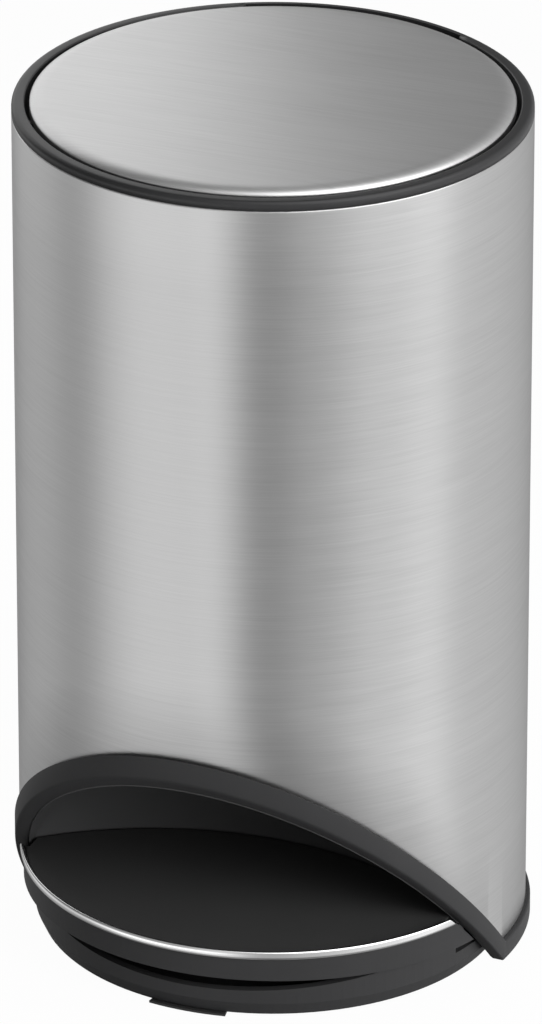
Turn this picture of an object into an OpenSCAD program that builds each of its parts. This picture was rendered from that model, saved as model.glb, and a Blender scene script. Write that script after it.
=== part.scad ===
// Round pedal bin: a brushed steel shell with an oblique toe recess, a wide pedal that
// follows the shell's curve, and a flush steel lid. Millimetres, +Z up, front on -Y.
// The origin is on the floor, under the centre of the body.

/* [Steel shell] */
// Outer diameter of the steel shell
body_d = 170; // [150:0.5:190]
// Thickness of the steel sheet
shell_wall = 0.8; // [0.5:0.1:0.9]
// Height of the shell's upper edge above the floor
shell_top_z = 292.2; // [250:0.5:330]
// Height of the shell's lower edge at the back and sides
shell_bottom_z = 7.6; // [5:0.2:8.6]

/* [Oblique toe opening] */
// Rise of the oblique cut for each millimetre towards the front
cut_slope = 1.115; // [1.08:0.005:1.18]
// Height at which the plane of the cut crosses the body's centre line
cut_z = -0.6; // [-2:0.1:0.5]
// Upright height of the lip that edges the opening
lip_h = 8.5; // [7:0.5:10]
// How far the lip stands proud of the steel
lip_proud = 1.6; // [1:0.1:2]
// How far the tongue behind the steel reaches past its lower edge
tongue_h = 6; // [4:0.5:8]
// Radius of the recess's back wall, seen from above
niche_r = 114; // [105:1:125]
// Where the back wall crosses the centre line
niche_y = 2.2; // [1.5:0.1:3]
// Wall thickness of the recess liner
liner_wall = 2.2; // [1.6:0.1:2.6]
// Thickness of the liner's edge behind the lip
liner_edge = 3; // [2.5:0.1:4]

/* [Base] */
// Height of the rubber feet below the base
foot_h = 0.8; // [0.5:0.1:1.5]
// How far the base ring stands behind the shell's outer face
base_inset = 5; // [4.6:0.1:6]
// Height of the base ring's upper edge
base_top_z = 10.2; // [9:0.2:11]
// Thickness of the base floor
base_floor = 2.5; // [2:0.1:3]
// Wall of the base ring
base_wall = 2.4; // [1.8:0.1:3]
// Width of each rubber foot round the base
foot_w = 27; // [20:1:36]
// Depth of each rubber foot towards the centre
foot_depth = 9.5; // [6:0.5:12]

/* [Pedal] */
// Height of the pedal's upper edge at rest
pedal_top_z = 27.3; // [26.6:0.1:27.8]
// Depth of the steel band round the pedal
trim_h = 2.9; // [2.6:0.1:3.2]
// Thickness of the steel band
trim_wall = 1.5; // [1:0.1:2]
// How far the pad's surface lies below the band's edge
pad_inset = 1.4; // [1.2:0.1:1.8]
// Thickness of the pad
pad_t = 1.5; // [1:0.1:2]
// Thickness of the plate that carries the pad
plate_t = 2; // [1.6:0.1:2.4]
// Height of the pedal skirt's lower edge
skirt_z = 16.5; // [16:0.1:17.5]
// Thickness of the pedal skirt
skirt_wall = 1.6; // [1.2:0.1:1.8]
// How much deeper the skirt gets for each millimetre towards its ends
skirt_drop = 0.03; // [0.01:0.005:0.04]
// Gap between the pedal and the recess's back wall
pedal_gap = 1.8; // [1.4:0.1:3]
// Travel of the pedal, in degrees
pedal_travel = 7.4; // [6.5:0.1:7.5]

/* [Pedal lever] */
// Distance of the pedal's pivot behind the recess's wall
pivot_gap = 4.6; // [4.4:0.1:5.6]
// Height of the pedal's pivot
pivot_z = 12; // [11:0.1:12.6]
// Diameter of the pivot axle
axle_d = 4; // [3:0.2:5]
// Width of the lever bar
lever_w = 24; // [20:1:25]
// Thickness of the lever bar
lever_t = 2.5; // [2:0.1:3]
// Distance of the lever's front end behind the front of the pedal
lever_inset = 21; // [17:1:25]
// Distance of the front rivets from the lever's end
rivet_inset = 8; // [6:1:10]
// Distance between the front and the back rivets
rivet_pitch = 26; // [20:1:30]
// Diameter of the rivets through the lever
rivet_d = 2.4; // [1.8:0.1:3]
// Wall of the bushes that the axle turns in
bush_wall = 1.2; // [0.8:0.1:1.4]
// Width of each axle post
post_w = 5; // [4:0.5:6]

/* [Return spring] */
// Mean diameter of the spring's turns
spring_d = 12; // [11:0.5:14]
// Diameter of the spring wire
spring_wire = 1.2; // [0.9:0.1:1.3]
// Number of turns
spring_turns = 5; // [4:1:6]
// Distance of the spring's axis behind the front of the pedal
spring_inset = 40; // [35:1:45]

/* [Lid] */
// Gap between the lid's edge and the collar
lid_gap = 1.5; // [1.2:0.1:1.8]
// Thickness of the lid's steel
lid_wall = 0.8; // [0.6:0.1:0.9]
// How far the lid's upper face stands above the collar
lid_proud = 1.6; // [1.4:0.1:1.8]
// Depth of the lid's turned-down edge
lid_skirt = 4.2; // [3.8:0.1:4.3]
// Width of the lid's soft edge, seen from above
lid_round_w = 5.5; // [4.5:0.1:6]
// Depth over which the lid's soft edge bends down
lid_round_h = 2.2; // [2:0.1:2.5]
// Travel of the lid, in degrees
lid_travel = 75; // [60:1:76]
// Width of the ring of the frame below the lid
frame_w = 12; // [10:0.5:14]
// Thickness of the frame below the lid
frame_t = 2.2; // [1.8:0.1:2.3]

/* [Collar] */
// Height of the collar's upper edge above the shell
collar_h = 3.1; // [2.9:0.1:3.3]
// Radius of the collar's outer edge
collar_round = 1.6; // [1:0.1:2]
// Width of the collar's upper edge
collar_w = 4.3; // [4.2:0.1:4.5]
// Depth of the ledge under the lid's edge below the collar's upper edge
mouth_depth = 4.4; // [4.2:0.1:4.6]
// Width of the ledge under the lid's edge
lid_ledge_w = 3.7; // [3.5:0.1:3.9]
// Depth of the ledge that the bucket hangs on below the lid's ledge
throat_depth = 4.6; // [4.4:0.1:5.6]
// Width of the ledge that the bucket hangs on
bucket_ledge_w = 3.2; // [3:0.1:3.6]
// Thickness of the collar's ledges
ledge_t = 2; // [1.6:0.1:2.4]
// Depth of the collar's sleeve inside the shell
sleeve_h = 18.2; // [17.5:0.1:20]
// Half the width of the pocket behind the hinge
pocket_w = 38; // [37:1:46]
// Gap between the lid's edge and the pocket's back wall
pocket_gap = 3; // [2.9:0.1:3.1]

/* [Hinge] */
// Distance of the hinge's axis from the lid's edge
hinge_inset = 5.2; // [5:0.1:5.4]
// Depth of the hinge's axis below the lid's upper face
hinge_depth = 3; // [2.9:0.1:3.2]
// Diameter of the hinge pin
pin_d = 2; // [1.6:0.1:2.1]
// Radius of the ears and knuckles round the pin
ear_r = 1.8; // [1.6:0.05:1.8]
// Thickness of the bracket's ears
ear_t = 2.8; // [2:0.1:3]
// Distance of the ears' inner faces from the middle
ear_x = 9.6; // [9.4:0.1:10]
// Width of each knuckle on the lid
knuckle_w = 2.4; // [2:0.1:2.6]

/* [Lift rod] */
// Diameter of the rod that lifts the lid
rod_d = 3; // [2.4:0.1:3.2]
// Diameter of the rod's cross pin
cross_pin_d = 2.6; // [2:0.1:2.8]
// Distance of the rod in front of the hinge
crank_y = 10; // [9.6:0.1:10.4]
// Distance of the cross pin below the hinge at rest
crank_z = 6.4; // [6.2:0.1:6.8]
// Width of the rail that guides the rod
rail_w = 16; // [12:0.5:18]

/* [Bucket] */
// Gap between the bucket and the ledge that it hangs on
bucket_gap = 0.8; // [0.6:0.1:1.8]
// How far the bucket narrows towards its floor, on a radius
bucket_taper = 7; // [5:0.5:11]
// Gap between the bucket's floor and the ceiling of the recess
bucket_lift = 8; // [4:0.5:40]
// Wall of the bucket
bucket_wall = 1.4; // [1:0.1:1.8]
// Distance of the bucket's flat back in front of the rod's axis
bucket_back_gap = 7; // [6.8:0.1:14]
// Thickness of the bucket's rim
rim_t = 1.5; // [1.2:0.1:1.6]
// Diameter of the bail's wire
bail_d = 2.6; // [2:0.1:2.8]
// Distance of the bail's wire from the throat of the collar
bail_gap = 2.4; // [2.2:0.1:3]
// Diameter of the grip on the bail
grip_d = 4; // [3.4:0.1:4.2]
// Stretch of the bail that the grip covers, in degrees
grip_angle = 44; // [30:1:60]

/* [Hidden] */
$fn = 96;
// running clearance on a radius, the play between pieces that are pressed together,
// and the gap that keeps one moving piece clear of another
run_gap = 0.05;
seat_gap = 0.2;
move_gap = 0.3;
eps = 0.01;
big = 400;

body_r = body_d / 2;
shell_r = body_r - shell_wall;
lip_r = body_r + lip_proud;
tongue_r = shell_r - seat_gap;
tongue_t = 2;
ring_r = tongue_r - tongue_t;
liner_r = ring_r - 0.1;
lip_cut_z = cut_z - lip_h;

base_r = body_r - base_inset;
base_floor_z = foot_h + base_floor;
base_inner_r = base_r - base_wall;
base_taper = 2;
niche_c = niche_y - niche_r;
liner_bottom_z = base_top_z + seat_gap;
ceiling_rise = 0.19;
niche_steps = 32;
niche_rows = 12;
niche_reach = 0.995;
niche_flat = 0.86;
niche_blend = 0.1;

trim_r = body_r;
pivot_y = niche_y + liner_wall + pivot_gap;
trim_z = pedal_top_z - trim_h;
pad_r = trim_r - trim_wall - seat_gap;
pad_top_z = pedal_top_z - pad_inset;
pad_z = pad_top_z - pad_t;
plate_z = pad_z - plate_t;
skirt_r = liner_r + move_gap + skirt_wall;
skirt_reach = 8;
skirt_cut_z = lip_cut_z - 2;
band_cut_z = lip_cut_z - 3.5;
// where the recess's ceiling comes down to the pedal, the pedal follows the oblique cut
pedal_side_x = sqrt(pow(liner_r, 2) - pow((pedal_top_z + 1 - lip_cut_z) / cut_slope, 2)) - 0.5;

lever_z = plate_z - lever_t;
lever_front = body_r - lever_inset;
spring_y = body_r - spring_inset;
axle_r = axle_d / 2;
bush_r = axle_r + run_gap + bush_wall;
hub_r = axle_r + 2;
lever_ear_t = 2.2;
rivet_r = rivet_d / 2;
rivet_y = [-lever_front + rivet_inset, -lever_front + rivet_inset + rivet_pitch];
rivet_head_h = 1.2;
rivet_grip = 1.2;
post_x = lever_w / 2 + 2;
post_r = bush_r + 1.2;
axle_l = 2 * (post_x + post_w + 0.5);
slot_w = lever_w + 3;
slot_margin = 8;
slot_z = lever_z - 2.5;
slot_h = lever_t + 3.7;

collar_top_z = shell_top_z + collar_h;
mouth_r = body_r - collar_w;
lid_ledge_z = collar_top_z - mouth_depth;
throat_r = mouth_r - lid_ledge_w;
bucket_ledge_z = lid_ledge_z - throat_depth;
bucket_ledge_r = throat_r - bucket_ledge_w;
lid_r = mouth_r - lid_gap;
lid_top_z = collar_top_z + lid_proud;
lid_under_z = lid_top_z - lid_wall;
hinge_y = lid_r - hinge_inset;
hinge_z = lid_top_z - hinge_depth;

rod_y = hinge_y - crank_y;
lever_back = rod_y + 6;
rod_r = rod_d / 2;
cross_pin_z = hinge_z - crank_z;
rod_foot_z = lever_z + lever_t + move_gap;
rod_travel = (rod_y - pivot_y) * tan(pedal_travel)
    + (lever_z + lever_t - pivot_z) * (1 / cos(pedal_travel) - 1);
spring_seat_h = 3;
spring_h = lever_z - base_floor_z - move_gap;

frame_r = hinge_y + ear_r;
frame_z = lid_under_z - seat_gap - frame_t;
sleeve_r = tongue_r;
sleeve_wall = 1.6;
sleeve_z = shell_top_z - sleeve_h;
pocket_r = lid_r + pocket_gap;
bucket_back_y = rod_y - bucket_back_gap;
pocket_y = rod_y - 4.5;
shelf_t = 2;
shelf_z = sleeve_z + 2;
shelf_top_z = shelf_z + shelf_t;

pin_r = pin_d / 2;
knuckle_x = ear_x - move_gap - knuckle_w;
pin_l = 2 * (ear_x + ear_t);
plate_mount_t = 1.5;
neck_y = 7;
neck_z = 8;
neck_w = 2.8;
web_y = 5;
bracket_w = 44;
bracket_screw_x = 18;
bracket_y = rod_y + 3.5;

// the cross pin's place beside the hinge when the lid is open, seen from the lid itself
open_y = -crank_y * cos(lid_travel) - (rod_travel - crank_z) * sin(lid_travel);
open_z = -crank_y * sin(lid_travel) + (rod_travel - crank_z) * cos(lid_travel);
slot_r = cross_pin_d / 2 + 0.6;
tab_wall = 1.5;
tab_x = rod_r + 0.9;
tab_t = 2;
tab_foot = 7;
tab_end_y = hinge_y - pin_r - 1.5;
cross_pin_l = 2 * (tab_x + tab_t + 0.8);

rail_t = 3;
rail_y = sqrt(pow(shell_r, 2) - pow(rail_w / 2, 2)) - 0.3 - rail_t;
rail_z = shell_bottom_z + tongue_h + 0.1;
rail_top_z = sleeve_z - 0.1;
guide_h = 8;
guide_r = 3.6;
guide_z = [for (share = [1 / 6, 1 / 2, 5 / 6])
    rail_z + share * (rail_top_z - rail_z) - guide_h / 2];

bucket_r = bucket_ledge_r - bucket_gap;
bucket_floor_r = bucket_r - bucket_taper;
bucket_z = lip_cut_z + cut_slope * liner_r + liner_edge + bucket_lift;
rim_r = throat_r - 0.6;
rim_z = bucket_ledge_z;
rim_top_z = rim_z + rim_t;
bail_r = throat_r - bail_gap;
bail_wire_r = bail_d / 2;
grip_r = grip_d / 2;
bail_z = rim_top_z + grip_r + seat_gap;
ear_block_x = [bail_r - 4, bail_r - 1.6];
ear_block_z = rim_z - 5;
ear_block_w = 8;
ear_block_top_z = bail_z + 2.4;

foot_r = base_r - base_taper + 1.3;
boss_r = 4;
boss_centre_r = base_r - 10;
boss_z = base_floor_z + 0.1;
boss_top_z = 16;
boss_angles = [20, 75, 105, 160];
foot_angles = [-90, 48, 132];
screw_r = 1.6;
screw_head_r = 3;
screw_head_h = 1.4;
bumper_angles = [210, 270, 330];
bumper_r = 1.4;

steel = "silver";
bright = "gainsboro";
dark = "dimgray";
black = [0.16, 0.16, 0.17];
rubber = [0.1, 0.1, 0.11];
zinc = "lightgray";

// points of an arc about [cx, cy], from angle a0 to a1 in n steps
function arc(cx, cy, r, a0, a1, n) = oval_arc(cx, cy, [r, r], a0, a1, n);

// the same on an oval with half its width and height in size
function oval_arc(cx, cy, size, a0, a1, n) =
    [for (i = [0 : n]) let (a = a0 + (a1 - a0) * i / n)
        [cx + size[0] * cos(a), cy + size[1] * sin(a)]];

// where a circle of radius r about [0, c] crosses a circle of radius s about the origin
function meet_y(r, c, s) = (pow(c, 2) + pow(s, 2) - pow(r, 2)) / (2 * c);

// everything below the oblique plane that crosses the centre line at height z
module below_cut(z, slope = cut_slope) {
    translate([0, 0, z])
        rotate([-atan(slope), 0, 0])
            translate([-big / 2, -big / 2, -big])
                cube(big);
}

module ring(r_out, r_in, z_low, z_high) {
    translate([0, 0, z_low])
        difference() {
            cylinder(r = r_out, h = z_high - z_low, $fn = 180);
            translate([0, 0, -1])
                cylinder(r = r_in, h = z_high - z_low + 2, $fn = 180);
        }
}

// a cylinder along X, centred on x = 0
module cross_cylinder(r, l) {
    rotate([0, 90, 0])
        cylinder(r = r, h = l, center = true, $fn = 48);
}

// copies on both sides of the middle
module both_sides() {
    children();
    mirror([1, 0, 0]) children();
}

// an outline in y and z, pushed along X from x by t
module side_plate(x, t) {
    translate([x, 0, 0])
        rotate([90, 0, 90])
            linear_extrude(t) children();
}

// steel tube with the oblique opening at its foot
module outer_shell() {
    color(steel)
        difference() {
            ring(body_r, shell_r, shell_bottom_z, shell_top_z);
            below_cut(cut_z);
        }
}

// ring round the lid, with ledges for the lid and the bucket and a pocket for the hinge
module top_collar() {
    profile = concat(
        [[sleeve_r, sleeve_z], [sleeve_r, shell_top_z], [body_r, shell_top_z]],
        arc(body_r - collar_round, collar_top_z - collar_round, collar_round, 0, 90, 6),
        arc(mouth_r + 0.5, collar_top_z - 0.5, 0.5, 90, 180, 4),
        [[mouth_r, lid_ledge_z], [throat_r, lid_ledge_z], [throat_r, bucket_ledge_z],
         [bucket_ledge_r, bucket_ledge_z], [bucket_ledge_r, bucket_ledge_z - ledge_t],
         [sleeve_r - sleeve_wall, bucket_ledge_z - ledge_t], [sleeve_r - sleeve_wall, sleeve_z]]);
    color(dark) {
        difference() {
            rotate_extrude($fn = 180) polygon(profile);
            intersection() {
                translate([-pocket_w, pocket_y, shelf_top_z])
                    cube([2 * pocket_w, body_r, collar_top_z]);
                cylinder(r = pocket_r, h = big, $fn = 180);
            }
        }
        difference() {
            intersection() {
                translate([-pocket_w - 2, pocket_y, shelf_z])
                    cube([2 * pocket_w + 4, body_r, shelf_t]);
                cylinder(r = sleeve_r - 1, h = big, $fn = 180);
            }
            translate([0, rod_y, shelf_z - 1])
                cylinder(r = rod_r + 0.7, h = shelf_t + 2, $fn = 48);
            both_sides()
                translate([bracket_screw_x, bracket_y, shelf_z - 1])
                    cylinder(r = screw_r, h = shelf_t + 2, $fn = 32);
        }
    }
}

// three soft stops under the lid's edge
module lid_bumpers() {
    color(rubber)
        for (a = bumper_angles)
            rotate([0, 0, a])
                translate([(mouth_r + throat_r) / 2, 0, lid_ledge_z])
                    cylinder(r = bumper_r, h = lid_top_z - lid_skirt - lid_ledge_z - move_gap, $fn = 32);
}

// plate on the collar's shelf, with two cranked ears that hold the hinge pin
module hinge_bracket() {
    neck = sqrt(pow(neck_y, 2) + pow(neck_z, 2));
    web_top = hinge_z - neck_z + 1.2;
    color(zinc) {
        difference() {
            translate([-bracket_w / 2, pocket_y + 1, shelf_top_z])
                cube([bracket_w, hinge_y - neck_y + web_y - pocket_y - 1, plate_mount_t]);
            translate([0, rod_y, shelf_top_z - 1])
                cylinder(r = rod_r + 0.7, h = plate_mount_t + 2, $fn = 48);
            both_sides()
                translate([bracket_screw_x, bracket_y, shelf_top_z - 1])
                    cylinder(r = screw_r, h = plate_mount_t + 2, $fn = 32);
        }
        both_sides()
            difference() {
                side_plate(ear_x, ear_t)
                    union() {
                        translate([hinge_y, hinge_z]) circle(r = ear_r, $fn = 48);
                        translate([hinge_y, hinge_z])
                            rotate(180 + atan(neck_z / neck_y))
                                translate([0, -neck_w / 2]) square([neck, neck_w]);
                        translate([hinge_y - neck_y, hinge_z - neck_z])
                            circle(r = neck_w / 2, $fn = 48);
                        translate([hinge_y - neck_y - web_y / 2, shelf_top_z + plate_mount_t - eps])
                            square([web_y, web_top - shelf_top_z - plate_mount_t]);
                    }
                translate([0, hinge_y, hinge_z]) cross_cylinder(pin_r + run_gap / 2, big);
            }
    }
}

module hinge_pin() {
    color(bright)
        translate([0, hinge_y, hinge_z]) cross_cylinder(pin_r, pin_l);
}

// two pan-head screws that hold the bracket to the shelf
module bracket_screws() {
    head_z = shelf_top_z + plate_mount_t;
    color(bright)
        both_sides()
            translate([bracket_screw_x, bracket_y, 0]) {
                translate([0, 0, shelf_z - 1])
                    cylinder(r = screw_r - 0.1, h = head_z - shelf_z + 1 + eps, $fn = 32);
                translate([0, 0, head_z])
                    cylinder(r = screw_head_r - 0.4, h = screw_head_h, $fn = 32);
            }
}

// upright rail on the shell's back with three eyes for the rod
module rod_rail() {
    color(black) {
        translate([-rail_w / 2, rail_y, rail_z])
            cube([rail_w, rail_t, rail_top_z - rail_z]);
        for (z = guide_z)
            difference() {
                union() {
                    translate([-guide_r, rod_y, z])
                        cube([2 * guide_r, rail_y - rod_y + eps, guide_h]);
                    translate([0, rod_y, z]) cylinder(r = guide_r, h = guide_h, $fn = 48);
                }
                translate([0, rod_y, z - 1])
                    cylinder(r = rod_r + run_gap, h = guide_h + 2, $fn = 48);
            }
    }
}

// dark lip round the toe opening and the rim below the shell, in one piece
module lower_housing() {
    color(black) {
        difference() {
            union() {
                intersection() {
                    ring(lip_r, ring_r, foot_h, shell_top_z / 2);
                    below_cut(cut_z);
                }
                intersection() {
                    ring(tongue_r, ring_r, foot_h, shell_top_z / 2);
                    below_cut(cut_z + tongue_h);
                }
                ring(lip_r, ring_r, foot_h, shell_bottom_z);
                ring(tongue_r, ring_r, foot_h, shell_bottom_z + tongue_h);
                ring(ring_r + eps, base_r + seat_gap, foot_h, shell_bottom_z);
            }
            below_cut(lip_cut_z);
        }
        for (a = boss_angles)
            rotate([0, 0, a])
                difference() {
                    union() {
                        translate([boss_centre_r, 0, boss_z])
                            cylinder(r = boss_r, h = boss_top_z - boss_z, $fn = 48);
                        translate([boss_centre_r, -1.5, base_top_z + seat_gap])
                            cube([ring_r + 0.5 - boss_centre_r, 3,
                                  shell_bottom_z + tongue_h - base_top_z - seat_gap]);
                    }
                    translate([boss_centre_r, 0, boss_z - 1])
                        cylinder(r = screw_r, h = boss_top_z - boss_z - 1, $fn = 32);
                }
    }
}

// A point of the recess: u runs across it from -1 to 1. Each upright section is a curve that
// leaves the lip, bends under the ceiling and meets the back wall, with v from 0 to 1, and
// then a straight wall down to the base, where v is over 1. The wall lies on a circle of
// radius r about [0, niche_c], and near its ends its lower edge rises behind the skirt.
function niche_point(u, v, r, lift) =
    let (side_y = meet_y(r, niche_c, liner_r),
         side_a = acos(-side_y / liner_r),
         a = side_a * u,
         x = liner_r * sin(a),
         lip_y = -liner_r * cos(a),
         lip_z = lip_cut_z - cut_slope * lip_y + lift,
         wall_y = niche_c + sqrt(pow(r, 2) - pow(x, 2)),
         wall_z = min(pedal_top_z + move_gap + lift, lip_z),
         top_z = lip_z + ceiling_rise * (wall_y - lip_y),
         end_share = max(0, min(1, (abs(u) - niche_flat) / niche_blend)),
         w = 1 - v)
    v > 1 ? [x, wall_y, liner_bottom_z + end_share * (skirt_z - liner_bottom_z)] :
    [x, w * w * lip_y + (1 - w * w) * wall_y,
     w * w * lip_z + 2 * v * w * top_z + v * v * wall_z];

// smooth concave wall of the toe recess, open where the pedal lever passes
module recess_liner() {
    columns = niche_steps + 1;
    last = niche_rows + 1;
    face = columns * (last + 1);
    points = [for (s = [0, 1]) for (j = [0 : last]) for (i = [0 : niche_steps])
        niche_point(niche_reach * (2 * i / niche_steps - 1), j / niche_rows,
                    niche_r + s * liner_wall, s * liner_edge)];
    quads = concat(
        [for (j = [0 : last - 1]) for (i = [0 : niche_steps - 1])
            [j * columns + i, j * columns + i + 1, (j + 1) * columns + i + 1, (j + 1) * columns + i]],
        [for (j = [0 : last - 1]) for (i = [0 : niche_steps - 1])
            [face + (j + 1) * columns + i, face + (j + 1) * columns + i + 1,
             face + j * columns + i + 1, face + j * columns + i]],
        [for (i = [0 : niche_steps - 1])
            [i, face + i, face + i + 1, i + 1]],
        [for (i = [0 : niche_steps - 1])
            [last * columns + i + 1, face + last * columns + i + 1,
             face + last * columns + i, last * columns + i]],
        [for (j = [0 : last - 1])
            [j * columns, (j + 1) * columns, face + (j + 1) * columns, face + j * columns]],
        [for (j = [0 : last - 1])
            [j * columns + niche_steps, face + j * columns + niche_steps,
             face + (j + 1) * columns + niche_steps, (j + 1) * columns + niche_steps]]);
    triangles = [for (q = quads) each [[q[0], q[1], q[2]], [q[0], q[2], q[3]]]];
    color(black)
        difference() {
            polyhedron(points, triangles);
            translate([-slot_w / 2, niche_y - slot_margin, slot_z])
                cube([slot_w, liner_wall + 2 * slot_margin, slot_h]);
        }
}

// round floor with its ring, the foot of the recess wall, axle posts and the spring's seat
module base_tray() {
    profile = concat(
        [[0, foot_h], [base_r - base_taper - 0.6, foot_h], [base_r - base_taper, foot_h + 0.6],
         [base_r, foot_h + 5]],
        [[base_r, base_top_z], [base_inner_r, base_top_z], [base_inner_r, base_floor_z],
         [0, base_floor_z]]);
    color(black)
        difference() {
            union() {
                rotate_extrude($fn = 180) polygon(profile);
                intersection() {
                    translate([0, niche_c, 0])
                        ring(niche_r + liner_wall, niche_r, base_floor_z - eps, base_top_z);
                    cylinder(r = base_inner_r + eps, h = big, $fn = 180);
                }
                both_sides()
                    side_plate(post_x, post_w)
                        union() {
                            translate([pivot_y, pivot_z]) circle(r = post_r, $fn = 48);
                            translate([pivot_y - post_r, base_floor_z - eps])
                                square([2 * post_r, pivot_z - base_floor_z]);
                        }
                translate([0, -spring_y, base_floor_z - eps])
                    cylinder(r = (spring_d - spring_wire) / 2 - 0.4, h = spring_seat_h, $fn = 48);
                // the ring's upper edge rises beside the pedal as steeply as the pressed pedal
                intersection() {
                    ring(base_r, base_inner_r, base_top_z - eps, pedal_top_z);
                    below_cut(base_top_z + base_r * tan(pedal_travel), -tan(pedal_travel));
                    translate([0, niche_c, 0])
                        cylinder(r = niche_r - seat_gap, h = big, $fn = 180);
                }
            }
            translate([0, pivot_y, pivot_z]) cross_cylinder(bush_r + run_gap, big);
            for (a = boss_angles)
                rotate([0, 0, a])
                    translate([boss_centre_r, 0, foot_h - 1]) {
                        cylinder(r = screw_r + 0.1, h = base_floor + 2, $fn = 32);
                        cylinder(r = screw_head_r + 0.2, h = screw_head_h + 1.2, $fn = 32);
                    }
        }
}

// four screws from below that hold the base to the housing
module base_screws() {
    color(bright)
        for (a = boss_angles)
            rotate([0, 0, a])
                translate([boss_centre_r, 0, foot_h + 0.2]) {
                    cylinder(r = screw_head_r, h = screw_head_h - eps, $fn = 32);
                    cylinder(r = screw_r - 0.05, h = boss_top_z - 4, $fn = 32);
                }
}

// three rubber feet under the edge of the base, one of them at the front
module foot_pads() {
    sweep = 2 * asin(foot_w / 2 / foot_r);
    color(rubber)
        for (a = foot_angles)
            rotate([0, 0, a - sweep / 2])
                rotate_extrude(angle = sweep, $fn = 180)
                    translate([foot_r - foot_depth, 0]) square([foot_depth, foot_h]);
}

// plain bushes in the axle posts
module axle_bushes() {
    color(zinc)
        both_sides()
            translate([post_x + post_w / 2, pivot_y, pivot_z])
                difference() {
                    cross_cylinder(bush_r, post_w);
                    cross_cylinder(axle_r + run_gap, post_w + 2);
                }
}

// coil that pushes the pedal up again; its centre line climbs evenly between flat ends
module return_spring() {
    per_turn = 14;
    sides = 6;
    count = spring_turns * per_turn;
    r = spring_wire / 2;
    climb = (spring_h - spring_wire) / count;
    points = [for (i = [0 : count]) let (a = 360 * i / per_turn)
        for (j = [0 : sides - 1]) let (b = 360 * j / sides, d = spring_d / 2 + r * cos(b))
            [d * cos(a), d * sin(a), r + i * climb + r * sin(b)]];
    walls = [for (i = [0 : count - 1]) for (j = [0 : sides - 1])
        let (k = (j + 1) % sides, p = i * sides, q = p + sides)
            each [[p + j, p + k, q + k], [p + j, q + k, q + j]]];
    ends = [[for (j = [sides - 1 : -1 : 0]) j], [for (j = [0 : sides - 1]) count * sides + j]];
    color(bright)
        translate([0, -spring_y, base_floor_z])
            polyhedron(points, concat(walls, ends));
}

// tapered pail with a flat back, hung by its rim
module inner_bucket() {
    depth = rim_z - bucket_z;
    slope = (bucket_r - bucket_floor_r) / depth;
    outer = [[0, bucket_z], [bucket_floor_r - 3, bucket_z], [bucket_floor_r, bucket_z + 3],
        [bucket_r, rim_z], [rim_r, rim_z], [rim_r, rim_top_z], [0, rim_top_z]];
    inner = [[0, bucket_z + bucket_wall],
        [bucket_floor_r - bucket_wall - 3, bucket_z + bucket_wall],
        [bucket_floor_r - bucket_wall, bucket_z + bucket_wall + 3],
        [bucket_r - bucket_wall + slope * rim_t, rim_top_z + 1], [0, rim_top_z + 1]];
    color(black) {
        difference() {
            intersection() {
                rotate_extrude($fn = 180) polygon(outer);
                translate([-big / 2, -big + bucket_back_y, 0]) cube(big);
            }
            intersection() {
                rotate_extrude($fn = 180) polygon(inner);
                translate([-big / 2, -big + bucket_back_y - bucket_wall, 0]) cube(big);
            }
        }
        both_sides()
            difference() {
                translate([ear_block_x[0], -ear_block_w / 2, ear_block_z])
                    cube([ear_block_x[1] - ear_block_x[0], ear_block_w, ear_block_top_z - ear_block_z]);
                translate([0, 0, bail_z]) cross_cylinder(bail_wire_r + run_gap, big);
            }
    }
}

// wire bail folded down on the rim
module bucket_handle() {
    color(bright)
        translate([0, 0, bail_z]) {
            rotate([0, 0, 180])
                rotate_extrude(angle = 180, $fn = 180)
                    translate([bail_r, 0]) circle(r = bail_wire_r, $fn = 24);
            both_sides() {
                translate([bail_r, 0, 0]) sphere(r = bail_wire_r, $fn = 24);
                translate([ear_block_x[0] - 1.5, 0, 0])
                    rotate([0, 90, 0])
                        cylinder(r = bail_wire_r, h = bail_r - ear_block_x[0] + 1.5, $fn = 24);
            }
        }
}

module handle_grip() {
    color(black)
        translate([0, 0, bail_z])
            rotate([0, 0, 270 - grip_angle / 2])
                rotate_extrude(angle = grip_angle, $fn = 180)
                    translate([bail_r, 0])
                        difference() {
                            circle(r = grip_r, $fn = 32);
                            circle(r = bail_wire_r + run_gap, $fn = 24);
                        }
}

// pressed steel disc with a soft oval edge
module lid_plate() {
    round_r = lid_r - lid_round_w;
    round_z = lid_top_z - lid_round_h;
    outer = [lid_round_w, lid_round_h];
    inner = [lid_round_w - lid_wall, lid_round_h - lid_wall];
    profile = concat(
        [[0, lid_top_z]],
        oval_arc(round_r, round_z, outer, 90, 0, 10),
        [[lid_r, lid_top_z - lid_skirt], [lid_r - lid_wall, lid_top_z - lid_skirt]],
        oval_arc(round_r, round_z, inner, 0, 90, 10),
        [[0, lid_under_z]]);
    color(steel)
        rotate_extrude($fn = 180) polygon(profile);
}

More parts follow.
